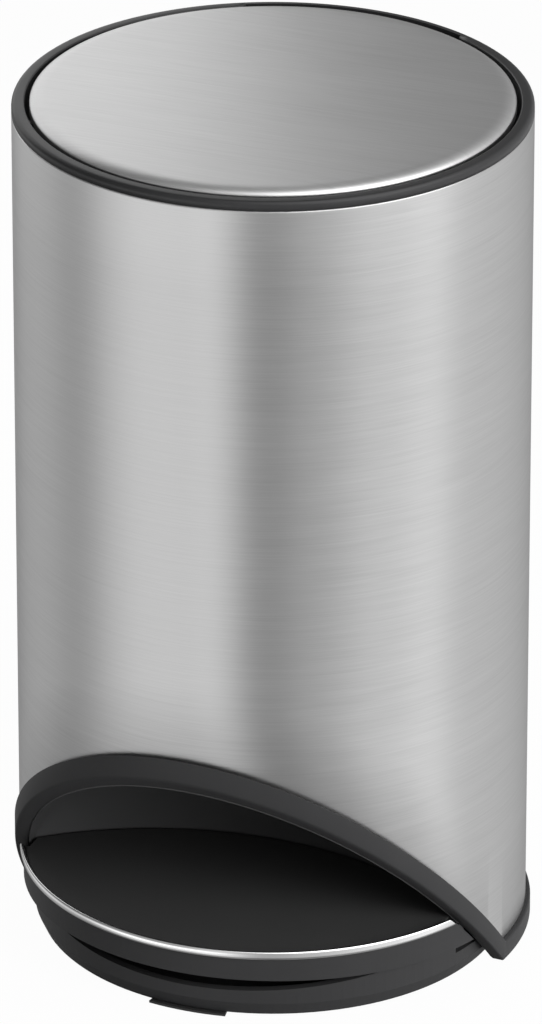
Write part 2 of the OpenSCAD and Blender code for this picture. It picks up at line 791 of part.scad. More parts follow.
// ring under the lid with the hinge knuckles
module lid_frame() {
    notch_x = ear_x - move_gap;
    notch_w = ear_t + 2 * move_gap;
    notch_y = hinge_y - ear_r - 2 * move_gap;
    color(black)
        difference() {
            union() {
                ring(frame_r, frame_r - frame_w, frame_z, frame_z + frame_t);
                both_sides()
                    translate([knuckle_x + knuckle_w / 2, hinge_y, hinge_z])
                        cross_cylinder(ear_r, knuckle_w);
            }
            both_sides()
                translate([notch_x, notch_y, frame_z - 1])
                    cube([notch_w, frame_r - notch_y, frame_t + 2]);
            translate([-knuckle_x, hinge_y - pin_r - 1, frame_z - 1])
                cube([2 * knuckle_x, frame_w, frame_t + 2]);
            translate([-tab_x - tab_t - seat_gap, rod_y - tab_foot - 1, frame_z - 1])
                cube([2 * (tab_x + tab_t + seat_gap), tab_end_y + 1 - rod_y + tab_foot + 1, frame_t + 2]);
            translate([0, hinge_y, hinge_z]) cross_cylinder(pin_r + run_gap, 2 * (notch_x + eps));
        }
}

// two slotted cheeks under the lid that the rod's cross pin runs in
module lift_tab() {
    foot_t = 1;
    cheek_r = slot_r + tab_wall;
    post_reach = cheek_r - 0.4;
    run = sqrt(pow(open_y + crank_y, 2) + pow(open_z + crank_z, 2));
    tilt = atan2(open_z + crank_z, open_y + crank_y);
    top = lid_under_z - hinge_z;
    color(zinc) {
        both_sides()
            side_plate(tab_x, tab_t)
                translate([hinge_y, hinge_z])
                    difference() {
                        union() {
                            translate([-crank_y, -crank_z]) rotate(tilt) {
                                circle(r = cheek_r, $fn = 48);
                                translate([0, -cheek_r]) square([run, 2 * cheek_r]);
                                translate([run, 0]) circle(r = cheek_r, $fn = 48);
                            }
                            translate([-crank_y - post_reach, -crank_z])
                                square([tab_end_y - rod_y + post_reach, top + crank_z - foot_t / 2]);
                        }
                        translate([-crank_y, -crank_z]) rotate(tilt) {
                            circle(r = slot_r, $fn = 48);
                            translate([0, -slot_r]) square([run, 2 * slot_r]);
                            translate([run, 0]) circle(r = slot_r, $fn = 48);
                        }
                    }
        translate([-tab_x - tab_t, rod_y - tab_foot, lid_under_z - foot_t])
            cube([2 * (tab_x + tab_t), tab_end_y - rod_y + tab_foot, foot_t]);
    }
}

// the pedal's outline in plan and its oblique ends, as a space that its pieces are cut to
module pedal_space(back_r, end_z) {
    intersection() {
        children();
        union() {
            below_cut(end_z);
            translate([-pedal_side_x, -body_r, 0]) cube([2 * pedal_side_x, 2 * body_r, big]);
        }
        translate([0, niche_c, 0])
            cylinder(r = back_r, h = big, $fn = 180);
    }
}

// the four places where the lever is riveted to the pedal
module at_rivets() {
    for (y = rivet_y)
        both_sides()
            translate([lever_w / 4, y, 0]) children();
}

// plate and skirt of the pedal
module pedal_body() {
    color(black) {
        difference() {
            pedal_space(niche_r - pedal_gap, skirt_cut_z)
                translate([0, 0, plate_z])
                    cylinder(r = skirt_r - skirt_wall / 2, h = plate_t, $fn = 180);
            at_rivets()
                translate([0, 0, plate_z - 1]) cylinder(r = rivet_r + run_gap, h = rivet_grip + 1.1, $fn = 32);
        }
        pedal_space(niche_r + skirt_reach, skirt_cut_z)
            difference() {
                ring(skirt_r, skirt_r - skirt_wall, skirt_z - skirt_drop * skirt_r, trim_z);
                below_cut(skirt_z - skirt_drop * skirt_r, skirt_drop);
                translate([-body_r, 0, 0]) cube([body_d, body_r, big]);
            }
    }
}

// steel band round the front of the pedal
module pedal_trim() {
    color(bright)
        pedal_space(niche_r - pedal_gap, band_cut_z)
            ring(trim_r, trim_r - trim_wall, trim_z, pedal_top_z);
}

// rubber pad that the foot presses
module pedal_pad() {
    profile = concat([[0, pad_z], [pad_r, pad_z]],
        arc(pad_r - 0.6, pad_top_z - 0.6, 0.6, 0, 90, 5), [[0, pad_top_z]]);
    color(rubber)
        pedal_space(niche_r - pedal_gap, band_cut_z)
            rotate_extrude($fn = 180) polygon(profile);
}

// flat bar from the pedal to the rod, with ears that hang on the axle
module pedal_lever() {
    color(zinc)
        difference() {
            union() {
                translate([-lever_w / 2, -lever_front, lever_z])
                    cube([lever_w, lever_front + lever_back, lever_t]);
                both_sides()
                    side_plate(lever_w / 2 - lever_ear_t, lever_ear_t)
                        union() {
                            translate([pivot_y, pivot_z]) circle(r = hub_r, $fn = 48);
                            translate([pivot_y - hub_r, pivot_z])
                                square([2 * hub_r, lever_z - pivot_z + eps]);
                        }
            }
            translate([0, pivot_y, pivot_z]) cross_cylinder(axle_r + run_gap / 2, big);
            at_rivets()
                translate([0, 0, lever_z - 1]) cylinder(r = rivet_r + run_gap, h = lever_t + 2, $fn = 32);
        }
}

// four rivets with flat heads under the lever
module lever_rivets() {
    color(bright)
        at_rivets() {
            translate([0, 0, lever_z - rivet_head_h])
                cylinder(r = 2 * rivet_r, h = rivet_head_h, $fn = 32);
            translate([0, 0, lever_z - eps])
                cylinder(r = rivet_r, h = lever_t + rivet_grip, $fn = 32);
        }
}

module pedal_axle() {
    color(bright)
        translate([0, pivot_y, pivot_z]) cross_cylinder(axle_r, axle_l);
}

// wire rod with a cross pin at its head
module lift_rod() {
    color(bright) {
        translate([0, rod_y, rod_foot_z + rod_r]) {
            cylinder(r = rod_r, h = cross_pin_z - rod_foot_z - rod_r, $fn = 48);
            sphere(r = rod_r, $fn = 48);
        }
        translate([0, rod_y, cross_pin_z]) {
            sphere(r = rod_r, $fn = 48);
            cross_cylinder(cross_pin_d / 2, cross_pin_l);
        }
    }
}

outer_shell();
top_collar();
lid_bumpers();
hinge_bracket();
hinge_pin();
bracket_screws();
rod_rail();
lower_housing();
recess_liner();
base_tray();
base_screws();
foot_pads();
axle_bushes();
return_spring();
inner_bucket();
bucket_handle();
handle_grip();
lid_plate();
lid_frame();
lift_tab();
pedal_body();
pedal_trim();
pedal_pad();
pedal_lever();
lever_rivets();
pedal_axle();
lift_rod();
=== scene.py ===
# %% [markdown]
# # A round pedal bin in brushed steel
# This lesson dresses a small pedal bin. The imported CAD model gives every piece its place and
# its motion. Here each visible piece gets a finer surface and a real finish, and the bin is
# put on a pale floor in front of the camera.

# %% Tools and the frame
import math

import bmesh
import bpy
import numpy as np
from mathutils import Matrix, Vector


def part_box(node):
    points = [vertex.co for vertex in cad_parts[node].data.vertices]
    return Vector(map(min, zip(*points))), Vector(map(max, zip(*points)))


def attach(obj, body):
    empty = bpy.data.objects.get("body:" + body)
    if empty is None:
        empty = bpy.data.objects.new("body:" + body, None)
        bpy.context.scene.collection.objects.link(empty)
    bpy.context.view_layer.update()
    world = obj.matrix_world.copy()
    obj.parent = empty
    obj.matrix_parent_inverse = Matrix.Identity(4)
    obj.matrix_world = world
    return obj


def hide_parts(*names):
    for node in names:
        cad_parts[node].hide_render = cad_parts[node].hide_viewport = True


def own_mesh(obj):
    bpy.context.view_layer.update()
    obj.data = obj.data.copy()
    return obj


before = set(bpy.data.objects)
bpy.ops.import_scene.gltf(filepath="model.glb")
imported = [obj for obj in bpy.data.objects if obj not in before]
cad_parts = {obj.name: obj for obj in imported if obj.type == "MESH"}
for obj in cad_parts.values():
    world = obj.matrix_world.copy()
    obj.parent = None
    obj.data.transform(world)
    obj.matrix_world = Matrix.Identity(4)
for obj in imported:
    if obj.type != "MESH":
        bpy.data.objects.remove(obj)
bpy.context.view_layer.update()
mm = 0.001

# %% [markdown]
# ## Sizes
# The sizes come from the frame where it knows them. A few belong to shapes that a box can't
# tell, such as the slope of the toe opening, and they repeat the CAD model's own values.

# %% Sizes read from the frame
shell_low, shell_high = (np.array(corner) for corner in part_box("outer_shell"))
lid_low, lid_high = (np.array(corner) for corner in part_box("lid_plate"))
housing_low, housing_high = (np.array(corner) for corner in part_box("lower_housing"))
trim_low, trim_high = (np.array(corner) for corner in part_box("pedal_trim"))
spring_low, spring_high = (np.array(corner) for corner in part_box("return_spring"))

body_r = shell_high[0]
shell_wall = 0.8 * mm
lip_r = housing_high[0]
ring_r = 82.0 * mm
cut_slope = 1.115
cut_z = -0.6 * mm
lip_height = 8.5 * mm
lid_r = 79.2 * mm
lid_wall = 0.8 * mm
lid_round = np.array([5.5, 2.2]) * mm
trim_wall = 1.5 * mm
band_cut_z = cut_z - lip_height - 3.5 * mm
print("shell radius", round(body_r / mm, 2), "top", round(shell_high[2] / mm, 2))

# %% [markdown]
# ## The camera
# The photograph was taken from far away with a long lens: the bin's sides run almost parallel.
# A pinhole camera was fitted to the bin's rims, which gave its height, turn and distance. The
# front of the bin points a little to the left of the picture.

# %% The camera of the photograph
camera_turn = math.radians(21.3)
camera_rise = math.radians(25.06)
camera_distance = 3.292
camera_lens = 349.9
right = np.array([math.cos(camera_turn), math.sin(camera_turn), 0.0])
ahead = np.array([-math.sin(camera_turn), math.cos(camera_turn), 0.0])
target = -0.00065 * right + np.array([0.0, 0.0, 0.1474])
look = math.cos(camera_rise) * ahead - math.sin(camera_rise) * np.array([0.0, 0.0, 1.0])

camera_data = bpy.data.cameras.new("photo_camera")
camera_data.lens = camera_lens
camera_data.sensor_width = 36.0
camera_data.clip_end = 50.0
camera = bpy.data.objects.new("photo_camera", camera_data)
camera.location = target - camera_distance * look
camera.rotation_euler = (math.pi / 2 - camera_rise, 0.0, camera_turn)
bpy.context.scene.collection.objects.link(camera)
bpy.context.scene.camera = camera
print("camera at", np.round(np.array(camera.location), 3).tolist())

# %% [markdown]
# ## Shader maths as plain sums
# A finish is a small graph of nodes. Writing it as sums and products keeps it readable, so a
# socket is wrapped in a class whose operators add Math nodes.


# %% A wrapped socket
class Wire:
    """An output socket. Sums and products of wires add Math nodes and give a new wire."""

    def __init__(self, finish, socket):
        self.finish = finish
        self.socket = socket

    def maths(self, operation, first, second):
        return self.finish.add("ShaderNodeMath", {"operation": operation}, {0: first, 1: second})

    def __add__(self, other):
        return self.maths("ADD", self, other)

    def __radd__(self, other):
        return self.maths("ADD", other, self)

    def __sub__(self, other):
        return self.maths("SUBTRACT", self, other)

    def __rsub__(self, other):
        return self.maths("SUBTRACT", other, self)

    def __mul__(self, other):
        return self.maths("MULTIPLY", self, other)

    def __rmul__(self, other):
        return self.maths("MULTIPLY", other, self)


class Finish:
    """A node graph with one method that adds any node."""

    def __init__(self, tree):
        self.tree = tree

    def add(self, kind, settings=None, inputs=None, output=0):
        """Adds a node, sets its settings, then its sockets, and wraps one output."""
        node = self.tree.nodes.new(kind)
        for key, value in (settings or {}).items():
            if key == "stops":
                ramp = node.color_ramp
                while len(ramp.elements) < len(value):
                    ramp.elements.new(0.5)
                for element, (place, level) in zip(ramp.elements, value):
                    element.position = place
                    element.color = (level, level, level, 1.0)
            else:
                setattr(node, key, value)
        for key, value in (inputs or {}).items():
            if isinstance(value, Wire):
                self.tree.links.new(value.socket, node.inputs[key])
            else:
                node.inputs[key].default_value = value
        return Wire(self, node.outputs[output])

    def place(self):
        return self.add("ShaderNodeTexCoord", output="Object")

    def grain(self, stretch, detail=3.0, turn=0.0):
        """Noise on Object coordinates: stretch gives its grains per metre along x, y and z."""
        spot = self.add("ShaderNodeMapping", None,
                        {"Vector": self.place(), "Scale": stretch, "Rotation": (0.0, 0.0, turn)})
        return self.add("ShaderNodeTexNoise", None,
                        {"Vector": spot, "Scale": 1.0, "Detail": detail, "Roughness": 0.6})

    def blend(self, amount, first, second):
        return self.add("ShaderNodeMix", {"data_type": "RGBA"},
                        {0: amount, 6: (*first, 1.0), 7: (*second, 1.0)}, 2)


def new_finish(name, fixed, varying):
    """A material: fixed numbers are set on the shader's sockets, and varying(finish) returns
    a dictionary of wires for the sockets that change over the surface."""
    material = bpy.data.materials.new(name)
    material.use_nodes = True
    tree = material.node_tree
    finish = Finish(tree)
    shader = tree.nodes["Principled BSDF"]
    for key, value in fixed.items():
        shader.inputs[key].default_value = value
    for key, wire in varying(finish).items():
        tree.links.new(wire.socket, shader.inputs[key])
    return material


# %% [markdown]
# ## Brushed steel
# The shell is rolled from sheet that was brushed along its length, so hair-fine lines run round
# the body. Noise that is stretched round the body and squeezed along its height draws them.
# They change the colour a little and the roughness more. The lid is brushed along one
# direction, so its noise is stretched along x.


# %% The steel finishes
def brushed(stretch_fine, stretch_wide, stretch_cloud, rough_low, rough_high, strength):
    """Three noises, fine lines, broader strokes and soft clouds, mixed into one set."""

    def varying(finish):
        fine = finish.grain(stretch_fine, 2.0)
        wide = finish.grain(stretch_wide, 3.0)
        cloud = finish.grain(stretch_cloud, 2.0)
        lines = fine * 0.5 + wide * 0.35 + cloud * 0.15
        tone = finish.add("ShaderNodeValToRGB", {"stops": [(0.36, 0.0), (0.64, 1.0)]}, {0: lines})
        colour = finish.blend(tone, (0.59, 0.59, 0.59), (0.665, 0.665, 0.665))
        rough = rough_low + (rough_high - rough_low) * lines
        bump = finish.add("ShaderNodeBump", None, {"Strength": strength, "Distance": 0.0002,
                                                   "Height": fine * 0.6 + wide * 0.4})
        return {"Base Color": colour, "Roughness": rough, "Normal": bump}

    return varying


shell_steel = new_finish(
    "brushed_shell_steel", {"Metallic": 1.0, "Anisotropic": 0.85, "Anisotropic Rotation": 0.25},
    brushed((26.0, 26.0, 2600.0), (34.0, 34.0, 700.0), (16.0, 16.0, 60.0), 0.24, 0.40, 0.10))
lid_steel = new_finish(
    "brushed_lid_steel", {"Metallic": 1.0},
    brushed((30.0, 2600.0, 26.0), (40.0, 800.0, 26.0), (12.0, 60.0, 26.0), 0.34, 0.44, 0.16))


def polished(low, high):
    """Polished steel: faint smears change the roughness."""

    def varying(finish):
        smear = finish.grain((60.0, 60.0, 400.0), 2.0)
        return {"Roughness": low + (high - low) * smear,
                "Base Color": finish.blend(smear, (0.80, 0.80, 0.80), (0.88, 0.88, 0.88))}

    return varying


bright_steel = new_finish("polished_steel", {"Metallic": 1.0}, polished(0.12, 0.24))
zinc_plate = new_finish("zinc_plate", {"Metallic": 1.0}, polished(0.30, 0.50))

# %% [markdown]
# ## Moulded plastic and rubber
# The dark parts are moulded. Moulded plastic has a fine grain that breaks its gloss, and rubber is a
# little duller and dusty. A tiny bump and a slow change of roughness show both. The recess liner and the
# pedal's pad are set lighter than the other black plastic and rubber: painted fill light for the toe
# recess, which lies in shade.


# %% The plastic and rubber finishes
def moulded(dark, light, rough, grain_per_metre, strength):
    """Plastic or rubber between two close colours, with a grain of the given fineness."""

    def varying(finish):
        grain = finish.grain((grain_per_metre,) * 3, 2.0)
        cloud = finish.grain((45.0, 45.0, 45.0), 3.0)
        bump = finish.add("ShaderNodeBump", None,
                          {"Strength": strength, "Distance": 0.0001, "Height": grain})
        return {"Base Color": finish.blend(cloud, dark, light),
                "Roughness": rough - 0.05 + 0.10 * cloud, "Normal": bump}

    return varying


collar_plastic = new_finish(
    "satin_collar_plastic", {"Specular IOR Level": 0.3},
    moulded((0.026, 0.026, 0.027), (0.032, 0.032, 0.033), 0.36, 2500.0, 0.10))
housing_plastic = new_finish(
    "housing_plastic", {"Specular IOR Level": 0.15},
    moulded((0.032, 0.032, 0.033), (0.039, 0.039, 0.040), 0.46, 2500.0, 0.15))
# Painted fill light: the liner's plastic is about twice as light as the housing's, so the shaded toe
# recess looks lit.
liner_plastic_painted_fill = new_finish(
    "liner_plastic_painted_fill", {"Specular IOR Level": 0.2},
    moulded((0.062, 0.062, 0.063), (0.072, 0.072, 0.073), 0.50, 2500.0, 0.15))
bucket_plastic = new_finish(
    "bucket_plastic", {}, moulded((0.030, 0.030, 0.032), (0.040, 0.040, 0.042), 0.45, 1800.0, 0.20))
# Painted fill light: the pad's rubber is about twice as light as the feet's, so the pad in the shaded
# recess looks lit.
pad_rubber_painted_fill = new_finish(
    "pad_rubber_painted_fill", {"Specular IOR Level": 0.15},
    moulded((0.050, 0.050, 0.050), (0.058, 0.058, 0.058), 0.52, 3000.0, 0.25))
foot_rubber = new_finish(
    "foot_rubber", {}, moulded((0.020, 0.020, 0.020), (0.026, 0.026, 0.026), 0.70, 3000.0, 0.30))
print("materials:", sorted(material.name for material in bpy.data.materials))

# %% [markdown]
# ## Surfaces from numbers
# Each new piece is a grid of points: one direction follows a path, such as the way round the
# body, and the other follows the section of the wall. The grid's points are worked out as whole
# arrays, and one helper turns a grid into a mesh with its faces pointing outwards.


# %% From a grid of points to a mesh
def grid_faces(rows, columns, loop_rows, loop_columns):
    """Corner numbers of the quads between neighbouring rows and columns of a grid."""
    i = np.arange(rows if loop_rows else rows - 1)[:, None]
    j = np.arange(columns if loop_columns else columns - 1)[None, :]
    i_next, j_next = (i + 1) % rows, (j + 1) % columns
    corners = [i * columns + j, i_next * columns + j, i_next * columns + j_next, i * columns + j_next]
    return np.stack(np.broadcast_arrays(*corners), axis=-1).reshape(-1, 4)


def enclosed_volume(points, quads):
    """Signed volume: the sum over the faces of the tetrahedra to the origin."""
    a, b, c, d = (points[quads[:, k]] for k in range(4))
    first = np.einsum("ij,ij->i", a, np.cross(b, c))
    second = np.einsum("ij,ij->i", a, np.cross(c, d))
    return (first.sum() + second.sum()) / 6.0


def piece_from_grid(name, grid, material, body, loop_rows=False, crease=30.0):
    """A closed wall: the section is a loop along the grid's columns. The path along its rows
    is a loop too, or it ends in two flat caps."""
    rows, columns = grid.shape[:2]
    points = grid.reshape(-1, 3)
    quads = grid_faces(rows, columns, loop_rows, True)
    flip = enclosed_volume(points, quads) < 0
    faces = (quads[:, ::-1] if flip else quads).tolist()
    if not loop_rows:
        first = list(range(columns))
        last = list(range((rows - 1) * columns, rows * columns))
        faces += [first, last[::-1]] if not flip else [first[::-1], last]
    mesh = bpy.data.meshes.new(name)
    mesh.from_pydata(points.tolist(), [], faces)
    mesh.update()
    return finish_piece(name, mesh, material, body, crease)


def finish_piece(name, mesh, material, body, crease):
    """Shades a mesh smooth but for its creases, gives it its finish and lets it ride."""
    mesh.polygons.foreach_set("use_smooth", np.ones(len(mesh.polygons), dtype=bool))
    mesh.set_sharp_from_angle(angle=math.radians(crease))
    mesh.materials.clear()
    mesh.materials.append(material)
    piece = bpy.data.objects.new(name, mesh)
    bpy.context.scene.collection.objects.link(piece)
    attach(piece, body)
    print(name, "faces", len(mesh.polygons))
    return piece


def disc_from_grid(name, grid, material, body, crease=30.0):
    """A closed disc: the grid's rows run round the axis, and its first and last columns lie
    on the axis, where they are merged into poles."""
    rows, columns = grid.shape[:2]
    points = grid.reshape(-1, 3)
    quads = grid_faces(rows, columns, True, False)
    if enclosed_volume(points, quads) < 0:
        quads = quads[:, ::-1]
    mesh = bpy.data.meshes.new(name)
    mesh.from_pydata(points.tolist(), [], quads.tolist())
    work = bmesh.new()
    work.from_mesh(mesh)
    bmesh.ops.remove_doubles(work, verts=work.verts, dist=1e-7)
    work.to_mesh(mesh)
    work.free()
    return finish_piece(name, mesh, material, body, crease)


def rounded_corner(centre, radius, start, end, steps):
    """Points (r, z) of an arc about a centre, from start to end in degrees. The radius is one
    number, or two for an oval: half its width and half its height."""
    angle = np.radians(np.linspace(start, end, steps))[:, None]
    return np.array(centre) + radius * np.hstack([np.cos(angle), np.sin(angle)])


def turned(section, angles):
    """Turns a section of points (r, z) round the vertical axis: an angle of 0 is the front,
    (r sin a, -r cos a, z)."""
    r, z = section[None, :, 0], section[None, :, 1]
    a = angles[:, None]
    return np.stack([r * np.sin(a), -r * np.cos(a), np.broadcast_to(z, (len(angles), len(section)))],
                    axis=-1)


def cut_height(r, a, height):
    """Height of an oblique plane at radius r and angle a, where it crosses the centre line at
    the given height: it rises towards the front as cut_slope times r cos a."""
    return height + cut_slope * r * np.cos(a)


# %% [markdown]
# ## The steel shell
# The shell is a thin tube. Its upper edge is turned over the collar with a small radius that
# catches the light, and its lower edge follows the oblique toe opening at the front and runs
# level behind. For each angle the section is the same closed loop, stretched between the two
# edges.


# %% The shell with its rounded edges
def edge_angles(level, height, radius, count=361):
    """Angles round the body, with the two at which the oblique plane meets a level."""
    meet = math.acos((level - height) / (cut_slope * radius))
    angles = np.concatenate([np.linspace(-math.pi, math.pi, count)[:-1], [-meet, meet]])
    return np.sort(angles)


shell_bottom = shell_low[2]
angles = edge_angles(shell_bottom, cut_z, body_r)
edge = 0.38 * mm
inner_r = body_r - shell_wall
lower_r = np.array([inner_r + edge * 0.3, body_r - edge, body_r - edge * 0.3, body_r])
lower_lift = np.array([0.0, 0.0, edge * 0.3, edge])
upper = np.concatenate([
    rounded_corner((body_r - 2 * edge, shell_high[2] - 2 * edge), 2 * edge, 0, 90, 6),
    [[inner_r, shell_high[2]]]])
a = angles[:, None]
wall_z = np.linspace(0.0, 1.0, 8)[1:-1]
low_z = np.maximum(shell_bottom, cut_height(lower_r[None, :], a, cut_z)) + lower_lift[None, :]
side_z = low_z[:, -1:] + (upper[0, 1] - low_z[:, -1:]) * wall_z[None, :]
inner_z = np.maximum(shell_bottom, cut_height(inner_r, a, cut_z)) + edge * 0.3
section_r = np.concatenate([lower_r, np.full(len(wall_z), body_r), upper[:, 0], [inner_r]])
section_z = np.concatenate(
    [low_z, side_z, np.broadcast_to(upper[:, 1], (len(angles), len(upper))), inner_z], axis=1)
shell_grid = np.stack([section_r * np.sin(a), -section_r * np.cos(a), section_z], axis=-1)
steel_shell = piece_from_grid("steel_shell", shell_grid, shell_steel, "bin_body", loop_rows=True)
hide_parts("outer_shell")

# %% [markdown]
# ## The lip and rim
# One dark moulding edges the toe opening and carries the shell behind it. Its upper edge meets
# the steel, its lower edge runs a fixed height below, and behind the opening both run level to
# form the rim. Each corner of its section is rounded.


# %% The lip round the toe opening
rim_bottom = housing_low[2]
lip_soft = 0.7 * mm
lip_angles = np.sort(np.concatenate([
    edge_angles(shell_bottom, cut_z, lip_r),
    edge_angles(rim_bottom, cut_z - lip_height, lip_r, 3)[1:]]))
a = lip_angles[:, None]
top_out = rounded_corner((lip_r - lip_soft, -lip_soft), lip_soft, 90, 0, 5)
low_out = rounded_corner((lip_r - lip_soft, lip_soft), lip_soft, 0, -90, 5)
low_in = rounded_corner((ring_r + lip_soft, lip_soft), lip_soft, -90, -180, 5)
lip_section_r = np.concatenate([[ring_r], top_out[:, 0], low_out[:, 0], low_in[:, 0]])
top_r = np.concatenate([[ring_r], top_out[:, 0]])
low_r = np.concatenate([low_out[:, 0], low_in[:, 0]])
top_z = np.maximum(shell_bottom, cut_height(top_r[None, :], a, cut_z))
top_z = top_z + np.concatenate([[0.0], top_out[:, 1]])
low_z = np.maximum(rim_bottom, cut_height(low_r[None, :], a, cut_z - lip_height))
low_z = low_z + np.concatenate([low_out[:, 1], low_in[:, 1]])
lip_z = np.concatenate([top_z, low_z], axis=1)
lip_grid = np.stack([lip_section_r * np.sin(a), -lip_section_r * np.cos(a), lip_z], axis=-1)
recess_lip = piece_from_grid("recess_lip", lip_grid, housing_plastic, "bin_body", loop_rows=True)
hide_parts("lower_housing")

# %% [markdown]
# ## The lid
# The lid is a pressed disc with a soft radius into its turned-down edge. It is a turned section,
# with points close together on the radius, where the light runs. The section starts and ends on
# the axis, where the turned points fall together and are merged into one pole on each face.

# %% The pressed lid
lid_top = lid_high[2]
lid_bottom = lid_low[2]
round_centre = np.array([lid_r, lid_top]) - lid_round
lid_section = np.concatenate([
    rounded_corner(round_centre, lid_round, 90, 0, 16),
    [[lid_r, lid_bottom], [lid_r - lid_wall, lid_bottom]],
    rounded_corner(round_centre, lid_round - lid_wall, 0, 90, 10)])
flat = np.linspace(round_centre[0], 0.0, 12)[1:]
lid_section = np.concatenate([
    np.column_stack([flat[::-1], np.full(len(flat), lid_top)]),
    lid_section,
    np.column_stack([flat, np.full(len(flat), lid_top - lid_wall)])])
round_angles = np.linspace(-math.pi, math.pi, 361)[:-1]
steel_lid = disc_from_grid("steel_lid", turned(lid_section, round_angles), lid_steel, "lid")
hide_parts("lid_plate")

# %% [markdown]
# ## The pedal's steel band
# The pedal follows the body's curve, and a polished band edges its pad. The band ends along the
# oblique cut, so at each height of its section the arc ends at another angle: half the arc is
# the angle whose cosine is the plane's place over the radius.


# %% Arcs that end along the oblique cut
def cut_arc(section, count=241):
    """Carries a section of points (r, z) round the front, between the angles at which the
    oblique plane reaches each point: cos(end) = (z - band_cut_z) / (cut_slope r)."""
    r, z = section[None, :, 0], section[None, :, 1]
    end = np.arccos((z - band_cut_z) / (cut_slope * r))
    a = np.linspace(-1.0, 1.0, count)[:, None] * end
    return np.stack([r * np.sin(a), -r * np.cos(a), np.broadcast_to(z, a.shape)], axis=-1)


def soft_box(low, high, soft, steps):
    """Section of a bar with oval corners, as points (r, z) round a loop: soft gives half the
    width and half the height of the corners' ovals."""
    inward = [(1, 1, 90), (1, -1, 0), (-1, -1, -90), (-1, 1, -180)]
    middle, reach = (high + low) / 2, (high - low) / 2 - soft
    return np.concatenate([rounded_corner(middle + reach * (r, z), soft, start, start - 90, steps)
                           for r, z, start in inward])


band_low = np.array([body_r - trim_wall, trim_low[2]])
band_high = np.array([body_r, trim_high[2]])
band_section = soft_box(band_low, band_high, np.array([0.65, 1.25]) * mm, 8)
steel_band = piece_from_grid("pedal_band", cut_arc(band_section), bright_steel, "pedal")
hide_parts("pedal_trim")

# %% [markdown]
# ## Pieces that keep the CAD shape
# The other pieces already have the right shape. Their CAD meshes are loose triangles, which
# shade as flats, so a copy is merged and shaded smooth but for its creases.


# %% Smooth copies of the CAD pieces
def smooth_copy(node, name, material, body, slot, crease=28.0):
    """A merged copy of a CAD node's mesh that stands for the node."""
    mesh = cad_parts[node].data.copy()
    mesh.name = name
    work = bmesh.new()
    work.from_mesh(mesh)
    bmesh.ops.remove_doubles(work, verts=work.verts, dist=1e-6)
    bmesh.ops.dissolve_degenerate(work, edges=work.edges, dist=1e-7)
    work.to_mesh(mesh)
    work.free()
    piece = finish_piece(name, mesh, material, body, crease)
    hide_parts(node)
    return piece


copies = [
    ("top_collar", "lid_collar", collar_plastic, "bin_body", "grey_plastic"),
    ("recess_liner", "toe_recess", liner_plastic_painted_fill, "bin_body", "black_plastic"),
    ("base_tray", "base_plate", housing_plastic, "bin_body", "black_plastic", 6.0),
    ("foot_pads", "rubber_feet", foot_rubber, "bin_body", "black_rubber"),
    ("lid_bumpers", "lid_stops", foot_rubber, "bin_body", "black_rubber"),
    ("hinge_bracket", "hinge_ears", zinc_plate, "bin_body", "zinc_plate"),
    ("hinge_pin", "hinge_rod", bright_steel, "bin_body", "polished_steel"),
    ("bracket_screws", "hinge_screws", bright_steel, "bin_body", "polished_steel"),
    ("rod_rail", "guide_rail", housing_plastic, "bin_body", "black_plastic"),
    ("base_screws", "underside_screws", bright_steel, "bin_body", "polished_steel"),
    ("axle_bushes", "pivot_bushes", zinc_plate, "bin_body", "zinc_plate"),
    ("inner_bucket", "waste_bucket", bucket_plastic, "bin_body", "bucket_plastic"),
    ("bucket_handle", "wire_bail", bright_steel, "bin_body", "polished_steel"),
    ("handle_grip", "bail_grip", housing_plastic, "bin_body", "black_plastic"),
    ("lid_frame", "lid_ring", housing_plastic, "lid", "black_plastic"),
    ("lift_tab", "slotted_tab", zinc_plate, "lid", "zinc_plate"),
    ("pedal_body", "pedal_shell", housing_plastic, "pedal", "black_plastic"),
    ("pedal_pad", "foot_pad", pad_rubber_painted_fill, "pedal", "black_rubber"),
    ("pedal_lever", "lever_bar", zinc_plate, "pedal", "zinc_plate"),
    ("lever_rivets", "flat_rivets", bright_steel, "pedal", "polished_steel"),
    ("pedal_axle", "pivot_axle", bright_steel, "pedal", "polished_steel"),
    ("lift_rod", "lid_rod", bright_steel, "rod", "polished_steel"),
]
for copy_of in copies:
    smooth_copy(*copy_of)

# %% [markdown]
# ## The return spring
# The spring is a wire wound on a helix. Its centre line is a circle that climbs evenly, and the wire's
# round section stands across it.

# %% The coil
turns = 5
points_per_turn = 40
wire_r = 0.6 * mm
coil_r = (spring_high[0] - spring_low[0]) / 2 - wire_r
coil_centre = (spring_low + spring_high) / 2
along = np.linspace(0.0, 1.0, turns * points_per_turn + 1)[:, None]
round_wire = np.linspace(0.0, 2 * math.pi, 12, endpoint=False)[None, :]
sweep = 2 * math.pi * turns * along
reach = coil_r + wire_r * np.cos(round_wire)
climb = spring_low[2] + wire_r + (spring_high[2] - spring_low[2] - 2 * wire_r) * along
coil_grid = np.stack([reach * np.cos(sweep), coil_centre[1] + reach * np.sin(sweep),
                      climb + wire_r * np.sin(round_wire)], axis=-1)
coil = piece_from_grid("pedal_spring", coil_grid, bright_steel, "bin_body")
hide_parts("return_spring")
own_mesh(coil)

# %% [markdown]
# ## Floor, light and background
# Steel shows what stands round it. In the photograph it shows a pale studio with a bright side
# on each side of the camera and a darker gap between them. The world paints that studio for the
# reflections: its level depends on the direction round the bin. The left of the studio is
# darker low down and high up, and so is the floor in front of the bin, because the collar and
# the steel band look dark there. The levels aren't a general studio: they were tuned over many
# renders until rows of the tube agreed with the photograph, so they suit this one view best.
# Seen directly, the background is white. The lamps light the plastics and don't show in the
# steel, apart from one panel behind on the left that brightens that side of the lid. From
# behind, the lid mirrors that panel and looks nearly white.

